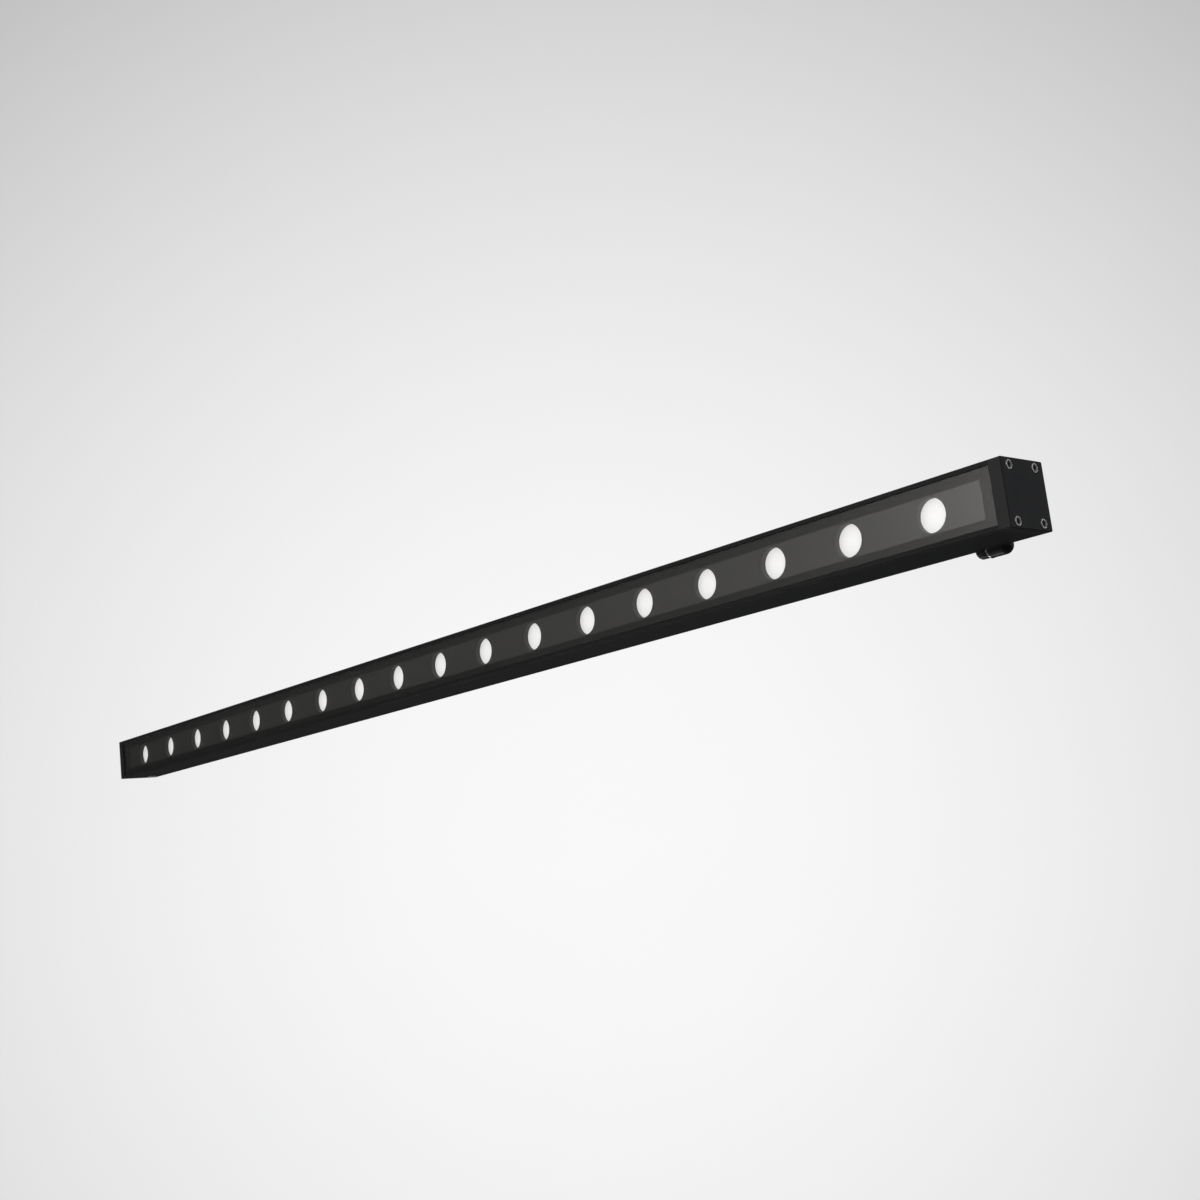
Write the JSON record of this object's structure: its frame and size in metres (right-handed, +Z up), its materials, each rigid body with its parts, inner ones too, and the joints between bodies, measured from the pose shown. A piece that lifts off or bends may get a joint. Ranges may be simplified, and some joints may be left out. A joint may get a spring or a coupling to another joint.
{
  "type": "led wall batten",
  "caption": "Slim square-section LED batten: a row of round light spots behind a flat cover glass, screwed end caps and sliding, tilting wall brackets.",
  "frame": {"origin": "middle of the four wall holes, on the wall's surface", "axes": "+X along the batten, +Y into the wall, so light leaves towards -Y; +Z up"},
  "size_m": [0.9922, 0.0456, 0.0397],
  "materials": {
    "profile_anodised": "black anodised, fine extrusion lines, satin",
    "cap_anodised": "black anodised, machined, satin",
    "seal_rubber": "moulded silicone rubber, matt",
    "screw_steel": "turned stainless steel",
    "cover_glass": "clear toughened glass, polished",
    "mask_plastic": "moulded dark grey, fine matt texture",
    "lens_acrylic": "clear acrylic with a frosted, lit front",
    "board_metal": "white solder resist on aluminium",
    "led_resin": "phosphor resin",
    "connector_plastic": "moulded nylon",
    "pad_silicone": "soft silicone sheet",
    "board_laminate": "glass laminate with solder resist",
    "capacitor_sleeve": "shrunk sleeve",
    "choke_winding": "enamelled copper wire",
    "chip_epoxy": "moulded epoxy",
    "gland_black": "moulded black nylon, satin",
    "vent_plastic": "moulded pale grey, satin",
    "wire_sleeve": "silicone sleeve",
    "bracket_paint": "black powder coat on steel",
    "washer_steel": "zinc plated",
    "black_steel": "black oxide",
    "friction_nylon": "natural nylon"
  },
  "bodies": {
    "batten": {"board_link": "connector_plastic", "board_screws": "screw_steel", "cover_glass": "cover_glass", "cover_seal": "seal_rubber", "driver_board": "board_laminate", "driver_capacitors": "capacitor_sleeve", "driver_chips": "chip_epoxy", "driver_chokes": "choke_winding", "driver_terminals": "connector_plastic", "end_cap_left": "cap_anodised", "end_cap_right": "cap_anodised", "end_gasket_left": "seal_rubber", "end_gasket_right": "seal_rubber", "end_screws_left": "screw_steel", "end_screws_right": "screw_steel", "gland_elbow": "gland_black", "gland_lock_nut": "washer_steel", "gland_nut": "gland_black", "gland_ring": "washer_steel", "gland_seal": "seal_rubber", "housing": "profile_anodised", "led_board_left": "board_metal", "led_board_right": "board_metal", "led_chips": "led_resin", "lens_01": "lens_acrylic", "lens_02": "lens_acrylic", "lens_03": "lens_acrylic", "lens_04": "lens_acrylic", "lens_05": "lens_acrylic", "lens_06": "lens_acrylic", "lens_07": "lens_acrylic", "lens_08": "lens_acrylic", "lens_09": "lens_acrylic", "lens_10": "lens_acrylic", "lens_11": "lens_acrylic", "lens_12": "lens_acrylic", "lens_13": "lens_acrylic", "lens_14": "lens_acrylic", "lens_15": "lens_acrylic", "lens_16": "lens_acrylic", "lens_17": "lens_acrylic", "lens_18": "lens_acrylic", "lens_mask": "mask_plastic", "supply_wires": "wire_sleeve", "thermal_pads": "pad_silicone", "vent_plug": "vent_plastic"},
    "shoe_left": {"bracket_shoe_left": "bracket_paint", "slot_nuts_left": "washer_steel", "shoe_screws_left": "black_steel"},
    "shoe_right": {"bracket_shoe_right": "bracket_paint", "slot_nuts_right": "washer_steel", "shoe_screws_right": "black_steel"},
    "plate_left": {"wall_plate_left": "bracket_paint", "pivot_bolt_left": "black_steel", "pivot_washer_left": "washer_steel", "friction_washer_left": "friction_nylon"},
    "plate_right": {"wall_plate_right": "bracket_paint", "pivot_bolt_right": "black_steel", "pivot_washer_right": "washer_steel", "friction_washer_right": "friction_nylon"}
  },
  "joints": [
    {"name": "shoe_left_slide", "type": "slide", "parent": "batten", "child": "shoe_left", "axis": [1, 0, 0], "range_m": [0, 0.12]},
    {"name": "shoe_right_slide", "type": "slide", "parent": "batten", "child": "shoe_right", "axis": [-1, 0, 0], "range_m": [0, 0.12]},
    {"name": "plate_left_tilt", "type": "hinge", "parent": "shoe_left", "child": "plate_left", "pos_m": [-0.3862, -0.0049, -0.0175], "axis": [-1, 0, 0], "range_deg": [0, 90]},
    {"name": "plate_right_tilt", "type": "hinge", "parent": "shoe_right", "child": "plate_right", "pos_m": [0.3862, -0.0049, -0.0175], "axis": [-1, 0, 0], "range_deg": [0, 90]}
  ]
}
